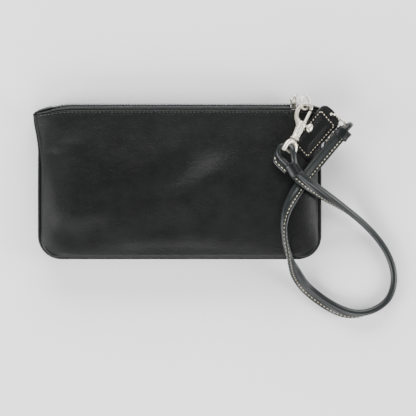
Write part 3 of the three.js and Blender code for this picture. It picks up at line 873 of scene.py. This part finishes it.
def make_slider():
    """Slider: shaped outer plate with turned-down sides, post, inner plate and arch."""
    bm = bmesh.new()
    length = SLIDER_HIGH.x - SLIDER_LOW.x
    centre_x = (SLIDER_LOW.x + SLIDER_HIGH.x) / 2
    plate_y = PULL_PIVOT.y - 2.9
    box(bm, (length, 1.1, 6.8), placed((centre_x, plate_y - 0.55, ZIP_MIDDLE)), 0.42, 4)
    for side in (1, -1):
        box(bm, (length, 1.7, 0.9), placed((centre_x, plate_y - 1.15, ZIP_MIDDLE + side * 3.0)), 0.35, 3)
    box(bm, (length - 1.4, 4.4, 0.7), placed((centre_x, plate_y - 3.2, ZIP_MIDDLE)), 0.2)
    box(bm, (length, 1.0, 5.2), placed((centre_x, SLIDER_LOW.y + 0.55, ZIP_MIDDLE)), 0.35, 3)
    arch = [(-1.75, -0.4), (-1.75, 1.4), (-1.1, 2.6), (0, 2.9), (1.1, 2.6), (1.75, 1.4), (1.75, -0.4)]
    wire(bm, spline([(centre_x + out, plate_y + up, ZIP_MIDDLE) for out, up in arch], 28), 0.55, sides=12)
    finish("zip_slider_metal", bm, NICKEL, "zip_slider", "nickel", "slider")


def make_pull():
    """Long wire eye hanging from the slider's arch."""
    low, high = corners("pull_link")
    centre = (low + high) / 2
    half = (high.z - low.z) / 2 - 0.55
    width = (high.y - low.y) / 2 + 0.5
    straight = half - width
    points = []
    for k in range(48):
        a = 2 * math.pi * k / 48
        rise = max(-1, min(1, math.sin(a) * 5))
        points.append(centre + Vector((0, width * math.cos(a), width * math.sin(a) + straight * rise)))
    bm = bmesh.new()
    wire(bm, points, 0.95, sides=12, closed=True, up=(1, 0, 0))
    swing = placed(centre) @ Matrix.Rotation(math.radians(-48), 4, "Z") @ placed(-centre)
    move(bm, swing)
    finish("zip_pull_wire", bm, NICKEL, "zip_pull", "nickel", "pull_link")


make_slider()
make_pull()


# ---------------------------------------------------------------- swivel clip
BARREL_FOOT, CLIP_AXIS = joint("clip_swivel")
PIN_PLACE, PIN_AXIS = joint("eye_turn")
CLIP_SIDE = CLIP_AXIS.cross(Vector((0, 0, 1))).normalized()
CLIP = placed(BARREL_FOOT, axes(CLIP_SIDE, CLIP_AXIS, CLIP_SIDE.cross(CLIP_AXIS)))
BOLT_X = 1.1  # from the barrel's middle to the bolt's


def lathe(bm, profile, sides, place, shape=None):
    """Adds a piece turned about its Y axis from a list of (radius, height)."""
    part = bmesh.new()
    verts = [part.verts.new((radius, y, 0)) for radius, y in profile]
    edges = [part.edges.new(pair) for pair in zip(verts, verts[1:])]
    bmesh.ops.spin(part, geom=verts + edges, cent=(0, 0, 0), axis=(0, 1, 0), angle=2 * math.pi,
                   steps=sides, use_merge=True, use_duplicate=False)
    bmesh.ops.remove_doubles(part, verts=part.verts, dist=1e-4)
    for vert in part.verts:
        if shape:
            shape(vert)
    bmesh.ops.transform(part, matrix=place, verts=part.verts)
    points_out(part)
    held = bpy.data.meshes.new("part")
    part.to_mesh(held)
    part.free()
    bm.from_mesh(held)
    bpy.data.meshes.remove(held)


def flute(vert):
    """Cuts lengthwise grooves into the clip's barrel."""
    radius = math.hypot(vert.co.x, vert.co.z)
    if radius < 2 or not 1.8 < vert.co.y < 12.6:
        return
    angle = math.atan2(vert.co.z, vert.co.x)
    gate_side = smooth(math.cos(angle), -0.25, 0.05)
    depth = 0.75 * gate_side * (0.5 + 0.5 * math.cos(12 * angle)) ** 2 * smooth(vert.co.y, 1.8, 2.8)
    depth *= 1 - smooth(vert.co.y, 10.5, 12)
    vert.co.x *= 1 - depth / radius
    vert.co.z *= 1 - depth / radius


def make_clip_body():
    bm = bmesh.new()
    profile = [(0, 0), (2.6, 0), (3.15, 0.25), (3.3, 0.7), (3.05, 1.1), (2.65, 1.6), (2.62, 3), (2.7, 5),
               (2.8, 7), (2.9, 9), (3.0, 11), (3.1, 12.4), (3.0, 13.3), (2.5, 13.9), (0, 14.0)]
    lathe(bm, profile, 144, Matrix.Identity(4), flute)
    hook = spline([(-0.7, 10.2, 0), (-2.3, 12.6, 0), (-4.9, 15.2, 0), (-6.15, 18.8, 0), (-6.1, 22.4, 0),
                   (-4.7, 25.6, 0), (-2.4, 27.3, 0), (0.0, 27.5, 0), (1.5, 26.4, 0), (1.8, 24.6, 0)], 72)
    radii = [1.4 + 0.9 * (1 - smooth(k, 0, 24)) - 0.12 * smooth(k, 40, 52) - 0.2 * smooth(k, 66, 72)
             for k in range(73)]
    wire(bm, hook, 1.4, sides=20, radii=radii)
    move(bm, CLIP)
    finish("clip_hook", bm, NICKEL, "clip", "nickel", "clip_body")


def make_clip_bolt():
    bm = bmesh.new()
    lathe(bm, [(0, 8.6), (1.15, 8.6), (1.15, 13.6), (1.3, 14.2), (1.3, 15.0), (1.12, 15.3), (1.1, 22.6),
               (0.9, 23.5), (0, 23.8)], 24, placed((BOLT_X, 0, 0)) @ Matrix.Rotation(-0.035, 4, "Z"))
    wire(bm, spline([(BOLT_X, 12.2, 0), (3.0, 12.3, 0), (4.8, 12.4, 0)], 8), 0.8, sides=14)
    made = bmesh.ops.create_uvsphere(bm, u_segments=28, v_segments=18, radius=1,
                                     matrix=placed((6.3, 12.3, 0)) @ Matrix.Diagonal((2.3, 3.3, 2.1, 1)))
    for vert in made["verts"]:
        rim = hump(vert.co.x, 7.2, 1.5) * hump(vert.co.y, 12.3, 1.7)
        vert.co.z -= 0.35 * rim * (1 if vert.co.z > 0 else -1)
    move(bm, CLIP)
    finish("clip_thumb_bolt", bm, NICKEL, "clip_bolt", "nickel", "clip_bolt")


def make_spring():
    bm = bmesh.new()
    turns = 3
    points = [Vector((0.8 + 0.7 * math.cos(a), 6.5 + 1.3 * k / (turns * 12), 0.7 * math.sin(a)))
              for k in range(turns * 12 + 1) for a in (2 * math.pi * k / 12,)]
    wire(bm, points, 0.16, sides=6, up=(0, 1, 0.2))
    move(bm, CLIP)
    finish("clip_spring_wire", bm, NICKEL, "clip_bolt", "nickel", "bolt_spring")


def make_eye():
    """Swivel stud, stirrup and cross pin."""
    place = placed(BARREL_FOOT, axes(PIN_AXIS, CLIP_AXIS, PIN_AXIS.cross(CLIP_AXIS)))
    depth = (PIN_PLACE - BARREL_FOOT).dot(CLIP_AXIS)
    bm = bmesh.new()
    lathe(bm, [(0, -2.6), (1.7, -2.6), (1.9, -2.0), (1.6, -1.2), (1.0, -0.8), (0.95, 0.6), (0, 0.7)], 24,
          Matrix.Identity(4))
    prong = [(4.7, depth - 1.5, 0), (4.6, depth + 1, 0), (4.3, -6.2, 0), (3.5, -4.0, 0), (1.9, -2.5, 0)]
    bow = spline([(-x, y, z) for x, y, z in prong] + [(0, -2.2, 0)] + prong[::-1], 54)
    flat = [station @ Matrix.Diagonal((1.3 + 0.4 * hump(k, 27, 18), 1, 1.35, 1))
            for k, station in enumerate(along(bow))]
    sweep(bm, flat, oval(1.1, 1.1, 16))
    lathe(bm, [(0, -5.9), (0.9, -5.9), (1.15, -5.6), (1.15, -5.2), (0.8, -5.1), (0.8, 5.1), (1.15, 5.2),
               (1.15, 5.6), (0.9, 5.9), (0, 5.9)], 20,
          placed((0, depth, 0)) @ Matrix.Rotation(math.pi / 2, 4, "Z"))
    move(bm, place)
    points_out(bm)
    finish("clip_swivel_eye", bm, NICKEL, "clip_eye", "nickel", "swivel_eye")


def make_split_ring():
    """Two turns of flat wire, sprung together."""
    centre = middle("split_ring")
    normal = Vector((0.72, -0.097, 0.687)).normalized()
    basis = turned(normal, (0, 1, 0))
    bm = bmesh.new()
    count = 120
    points = []
    for k in range(count + 1):
        a = 4 * math.pi * k / count
        shift = 0.34 * math.tanh((k - count / 2) / 6)
        points.append(placed(centre, basis) @ Vector((4.75 * math.cos(a), shift, 4.75 * math.sin(a))))
    sweep(bm, along(points, normal), oval(0.5, 0.82, 12))
    finish("split_ring_wire", bm, NICKEL, "hook_ring", "nickel", "split_ring")


make_clip_body()
make_clip_bolt()
make_spring()
make_eye()
make_split_ring()


# ---------------------------------------------------------------- wrist strap
STRAP_ROUTE = [
    (79.6, 5.9, 31.9), (81.0, 4.2, 32.0), (85.4, 0.3, 32.2), (91.7, -4.3, 30.8), (100.8, -10.4, 26.4),
    (111.3, -17.2, 19.4), (122.5, -25.2, 12.6), (132.3, -34.0, 8.4), (140.7, -43.8, 6.8), (146.3, -53.6, 6.6),
    (149.3, -63.4, 6.6), (149.4, -72.5, 6.6), (146.6, -80.9, 6.6), (141.2, -87.0, 6.6), (133.7, -91.6, 6.5),
    (125.3, -93.6, 6.2), (116.2, -92.6, 5.4), (106.4, -88.5, 4.3), (95.9, -81.6, 3.6), (86.8, -73.6, 5.6),
    (79.9, -63.4, 13.4), (76.6, -57.0, 21.6), (74.7, -50.5, 25.8), (72.7, -41.0, 26.9), (72.1, -30.5, 27.2),
    (73.5, -21.4, 27.4), (77.0, -13.0, 27.4), (81.9, -4.6, 27.0), (86.8, 2.5, 26.4), (92.4, 9.5, 25.6),
    (98.7, 17.2, 25.4), (104.6, 24.3, 26.0), (109.6, 30.2, 26.9), (113.0, 34.2, 27.2),
]
TUBE = 2.35  # radius of the rolled edge
FLANGE = 6.2  # from the roll's middle to the stitched edge
FLANGE_HALF = 0.85
STITCH_AT = 4.4
STITCH_PITCH = 2.7


def strap_section():
    """Rolled edge with a flat stitched flange, drawn as (across, 0, up)."""
    root = math.asin(FLANGE_HALF / TUBE) + 0.12
    points = []
    for k in range(19):
        a = root + (2 * math.pi - 2 * root) * k / 18
        points.append(Vector((TUBE * math.cos(a), 0, TUBE * math.sin(a))))
    points.append(Vector((3.4, 0, -FLANGE_HALF)))
    for k in range(7):
        a = -math.pi / 2 + math.pi * k / 6
        points.append(Vector((FLANGE - 0.5 + 0.5 * math.cos(a), 0, FLANGE_HALF * math.sin(a))))
    points.append(Vector((3.4, 0, FLANGE_HALF)))
    return points


def strap_frames(route, steps, roll_at, shift):
    """Frames along the strap. Roll 0 lays the flange to the right of the way it runs, 90 stands it up."""
    out = []
    for k, station in enumerate(along(spline(route, steps))):
        roll = math.radians(roll_at(k / steps))
        right = station.col[0].to_3d()
        moved = station.translation - shift * math.cos(roll) * right
        out.append(placed(moved) @ station.to_3x3().to_4x4() @ Matrix.Rotation(-roll, 4, "Y"))
    return out


def strap_roll(t):
    """The flange tucks under along the outer side, comes out at the bottom and turns over onto the pouch."""
    under = 78 * smooth(t, 0.0, 0.18)
    out = 97 * smooth(t, 0.38, 0.55)
    over = 100 * smooth(t, 0.6, 0.73) + 85 * smooth(t, 0.73, 0.87)
    return -(under + out + over)


def strap_stitches(bm, stations):
    """Cream stitches on both faces of the flange."""
    for face in (1, -1):
        line = [s @ Vector((STITCH_AT, 0, face * (FLANGE_HALF + 0.04))) for s in stations]
        lifts = [s.col[2].to_3d() * face for s in stations]
        stitches(bm, line, STITCH_PITCH, 0.36, lifts, share=0.64)


def make_strap():
    stations = strap_frames(STRAP_ROUTE, 300, strap_roll, 2.0)
    bm = bmesh.new()
    sweep(bm, stations, strap_section())
    finish("strap_rolled_leather", bm, STRAP_LEATHER, "wrist_strap", "strap_leather", "strap")
    bm = bmesh.new()
    strap_stitches(bm, stations)
    finish("strap_stitches", bm, CREAM_THREAD, "wrist_strap", "strap_leather")


def flange_strip(bm, stations, full):
    """A flat stitched edge beside a rolled cord: full is its width's share at each station."""
    root = 1.2
    half = [Vector((-root - (FLANGE - root) * (0.5 + 0.5 * math.cos(a)), 0, 0.75 * math.sin(a)))
            for a in (2 * math.pi * k / 16 for k in range(16))]
    sized = [station @ Matrix.Diagonal((share, 1, min(1.0, share + 0.3), 1))
             for station, share in zip(stations, full)]
    sweep(bm, sized, half)


def make_clip_loop():
    """The strap's end, rolled round the eye's pin. Its stitched edge fades out as it turns over the pin."""
    route = [(78.6, 6.8, 31.2), (76.2, 9.8, 31.0), (72.9, 12.9, 30.2), (69.4, 16.6, 29.0), (67.9, 20.4, 28.6),
             (69.2, 23.6, 29.0), (72.6, 24.8, 30.0), (76.0, 23.8, 31.4), (77.7, 20.6, 33.0),
             (78.4, 16.0, 33.4), (79.2, 10.5, 32.4), (79.8, 7.0, 31.8)]
    stations = along(spline(route, 110))
    bm = bmesh.new()
    sweep(bm, stations, oval(2.1, 2.1, 20))
    edge = stations[8:48]
    share = [1 - 0.75 * smooth(k, 22, len(edge) - 1) for k in range(len(edge))]
    flange_strip(bm, edge, share)
    finish("strap_end_at_clip", bm, STRAP_LEATHER, "wrist_strap", "strap_leather", "strap_loop_clip")
    bm = bmesh.new()
    for face in (1, -1):
        line = [station @ Vector((-STITCH_AT * part, 0, face * 0.72))
                for station, part in zip(edge, share)]
        stitches(bm, line[:30], STITCH_PITCH, 0.42, (0, 0, face))
    finish("strap_end_stitches", bm, CREAM_THREAD, "wrist_strap", "strap_leather")


def make_ring_loop():
    """The strap's far end, folded down through the D-ring and back up under its keeper."""
    route = [(114.4, 35.2, 27.2), (115.9, 37.0, 26.8), (117.4, 38.6, 25.2), (118.5, 39.7, 22.2),
             (118.8, 40.0, 18.0), (117.3, 39.3, 13.8), (114.2, 37.8, 12.0), (111.3, 36.7, 14.4),
             (110.7, 36.3, 19.2), (111.6, 36.1, 23.0), (113.4, 35.4, 25.4)]
    stations = along(spline(route, 80), (0.7, -0.7, 0.1))
    bm = bmesh.new()
    sweep(bm, [station @ Matrix.Diagonal((1, 1, 1.45, 1)) for station in stations], oval(1.35, 1.35, 18))
    # Painted shade: the loop is coloured with the strap leather made darker.
    finish("strap_end_at_ring", bm, STRAP_LEATHER_WITH_PAINTED_SHADE, "wrist_strap", "strap_leather", "strap_loop_ring")


def make_keeper(name, node, start, end, wide, high):
    """A leather collar pulled tight round the strap: waisted, with rolled rims and open ends."""
    start, end = Vector(start), Vector(end)
    basis = turned(end - start, (0, 0, 1))
    profile = [(0.7, 0.16), (0.72, 0.06), (0.8, 0.0), (0.93, 0.01), (0.99, 0.05), (1.01, 0.12), (0.99, 0.24),
               (0.97, 0.5), (0.99, 0.76), (1.01, 0.88), (0.99, 0.95), (0.93, 0.99), (0.8, 1.0), (0.72, 0.94),
               (0.7, 0.84)]
    stations = [placed(start.lerp(end, t), basis) @ Matrix.Diagonal((size, 1, size, 1))
                for size, t in profile]
    squared = [Vector((p.x * (1 + 0.06 * abs(math.sin(2 * k * math.pi / 16))), 0, p.z))
               for k, p in enumerate(oval(high, wide, 32))]
    bm = bmesh.new()
    sweep(bm, stations, squared)
    for vert in bm.verts:
        vert.co += 0.12 * noise.noise(vert.co / 4) * Vector((1, 1, 1))
    lap = [placed(start.lerp(end, t), basis) @ Vector((0.3 * wide, 0, high * 0.99)) for t in (0.1, 0.5, 0.9)]
    wire(bm, spline(lap, 8), 0.35, sides=8)
    # Painted shade: the keeper is coloured with the strap leather made darker.
    finish(name, bm, STRAP_LEATHER_WITH_PAINTED_SHADE, "wrist_strap", "strap_leather", node)


make_strap()
make_clip_loop()
make_ring_loop()
make_keeper("keeper_leather_clip_end", "keeper_clip_end", (81.1, 4.0, 31.8), (76.0, 12.4, 31.4), 4.8, 4.0)
make_keeper("keeper_leather_ring_end", "keeper_ring_end", (110.4, 30.4, 27.0), (115.0, 35.9, 26.9), 5.3, 3.6)


# ---------------------------------------------------------------- side tab and D-ring
def make_side_tab():
    low, high = corners("side_tab")
    size = high - low
    bm = bmesh.new()
    box(bm, (size.x + 2.5, size.y, size.z * 0.8), placed((low + high) / 2 - Vector((1.2, 0, 0))), 1.5, 5)
    finish("side_tab_leather", bm, TRIM_LEATHER, "pouch", "pouch_leather", "side_tab")


def make_d_ring():
    hinge, _ = joint("side_ring_turn")
    outward = Vector((math.cos(math.radians(37)), 0, math.sin(math.radians(37))))
    half, reach = 5.2, 11.2
    flat = [(0, -half), (0.3 * reach, -half), (0.6 * reach, -half), (0.88 * reach, -0.82 * half),
            (reach, -0.4 * half), (reach, 0.4 * half), (0.88 * reach, 0.82 * half), (0.6 * reach, half),
            (0.3 * reach, half), (0, half), (0, 0.5 * half), (0, 0), (0, -0.5 * half)]
    points = [hinge + outward * a + Vector((0, b, 0)) for a, b in flat]
    bm = bmesh.new()
    wire(bm, spline(points, 90, closed=True), 0.9, sides=14, closed=True, up=outward.cross(Vector((0, 1, 0))))
    finish("side_ring_wire", bm, NICKEL, "side_ring", "nickel", "d_ring")


make_side_tab()
make_d_ring()


# ---------------------------------------------------------------- hang tag
TAG_HOLE, _ = joint("tag_swing")
TAG_TURN = math.radians(-41.3)
TAG_TILT = math.radians(-6)
TAG_SKEW = 0.14  # the tag hangs over the pouch's side and has pulled a little out of square
TAG = placed(TAG_HOLE, (Matrix.Rotation(TAG_TURN, 4, "Z") @ Matrix.Rotation(TAG_TILT, 4, "X")))
TAG = TAG @ Matrix(((1, 0, 0, 0), (-TAG_SKEW, 1, 0, 0), (0, 0, 1, 0), (0, 0, 0, 1)))
TAG_HALF = 9.0
TAG_END = -34.8
TAG_SHOULDER = -3.4


def tag_outline(margin):
    """Half of the tag's outline on the right, from its lower edge up to its head."""
    half, low = TAG_HALF - margin, TAG_END + margin
    points = [Vector((half - 2.2 + 2.2 * math.sin(a), low + 2.2 - 2.2 * math.cos(a), 0))
              for a in (k / 6 * math.pi / 2 for k in range(7))]
    points.append(Vector((half, TAG_SHOULDER - 6, 0)))
    head = spline([(half, TAG_SHOULDER, 0), (half - 0.5, -0.6, 0), (6.2, 1.7 - margin, 0),
                   (3.2, 2.7 - margin, 0), (0, 3.0 - margin, 0)], 14)
    return points + head


def tag_layer(name, margin, z0, z1, node):
    """One leather layer, cut out, with its edges rounded."""
    right = tag_outline(margin)
    outline = right + [Vector((-p.x, p.y, 0)) for p in right[-2::-1]]
    bm = bmesh.new()
    verts = [bm.verts.new(p + Vector((0, 0, z0))) for p in outline]
    bm.faces.new(verts)
    add_wall(bm, (0, 0, z1 - z0))
    rims = [e for e in bm.edges if abs(e.verts[0].co.z - e.verts[1].co.z) < 0.01]
    bmesh.ops.bevel(bm, geom=rims, offset=0.28, segments=3, profile=0.5, affect="EDGES", material=-1)
    points_out(bm)
    move(bm, TAG)
    finish(name, bm, TAG_LEATHER, "hang_tag", "tag_leather", node)


def make_tag():
    tag_layer("tag_back_leather", 0, -1.1, 0.0, "tag_back")
    tag_layer("tag_front_leather", 0.5, 0.05, 1.1, "tag_front")
    bm = bmesh.new()
    bmesh.ops.create_grid(bm, x_segments=44, y_segments=88, size=1)
    half, low, high = TAG_HALF - 2.9, TAG_END + 3.0, TAG_SHOULDER - 1.3
    for vert in bm.verts:
        x = vert.co.x * half
        y = low + (high - low) * (vert.co.y + 1) / 2
        inside = min(half - abs(x), y - low, high - y)
        frame_line = 0.3 * hump(inside, 1.7, 0.4) + 0.2 * hump(inside, 3.0, 0.35)
        pillow = 0.24 * smooth(inside, 0, 1.1)
        vert.co = Vector((x, y, 0.98 + pillow - frame_line))
    move(bm, TAG)
    add_wall(bm, TAG.to_3x3() @ Vector((0, 0, -0.4)))
    finish("tag_pressed_panel", bm, TAG_LEATHER, "hang_tag", "tag_leather")

    bm = bmesh.new()
    half, low, high = TAG_HALF - 2.1, TAG_END + 2.3, TAG_SHOULDER - 0.7
    square = [Vector((-half, low, 1.16)), Vector((half, low, 1.16)), Vector((half, high, 1.16)),
              Vector((-half, high, 1.16))]
    for a, b in zip(square, square[1:] + square[:1]):
        stitches(bm, [a, b], 2.35, 0.36, (0, 0, 1), share=0.6)
        stitches(bm, [a - Vector((0, 0, 2.32)), b - Vector((0, 0, 2.32))], 2.5, 0.3, (0, 0, -1), share=0.7)
    move(bm, TAG)
    finish("tag_stitches", bm, CREAM_THREAD, "hang_tag", "tag_leather")


CHAIN_ROUTE = [
    (105.0, 46.9, 21.8), (107.9, 46.4, 22.2), (110.2, 44.5, 20.4), (110.2, 41.6, 17.4), (108.8, 37.4, 16.6),
    (106.2, 32.8, 16.6), (102.9, 28.9, 17.2), (100.9, 26.0, 17.4), (101.3, 27.6, 15.2), (104.0, 33.6, 15.2),
    (107.4, 40.4, 15.6), (107.2, 44.6, 15.2), (105.2, 47.0, 16.4), (105.0, 46.9, 19.2),
]


def make_bead_chain():
    bm = bmesh.new()
    for bead in spline(CHAIN_ROUTE, 24, closed=True):
        bmesh.ops.create_uvsphere(bm, u_segments=14, v_segments=8, radius=1.05, matrix=placed(bead))
    wire(bm, spline(CHAIN_ROUTE, 96, closed=True), 0.28, sides=6, closed=True)
    finish("bead_chain_balls", bm, NICKEL, "pouch", "nickel", "bead_chain")


make_tag()
make_bead_chain()

# ---------------------------------------------------------------- inside the pouch
INSIDE_LOOKS = {"lining": LINING_FABRIC, "slip_pocket": LINING_FABRIC, "slip_pocket_binding": TRIM_LEATHER,
                "front_facing": TRIM_LEATHER, "back_facing": TRIM_LEATHER}
for node_name, look in INSIDE_LOOKS.items():
    shown = frame["nodes"][node_name]
    shown.data.materials.clear()
    shown.data.materials.append(look)
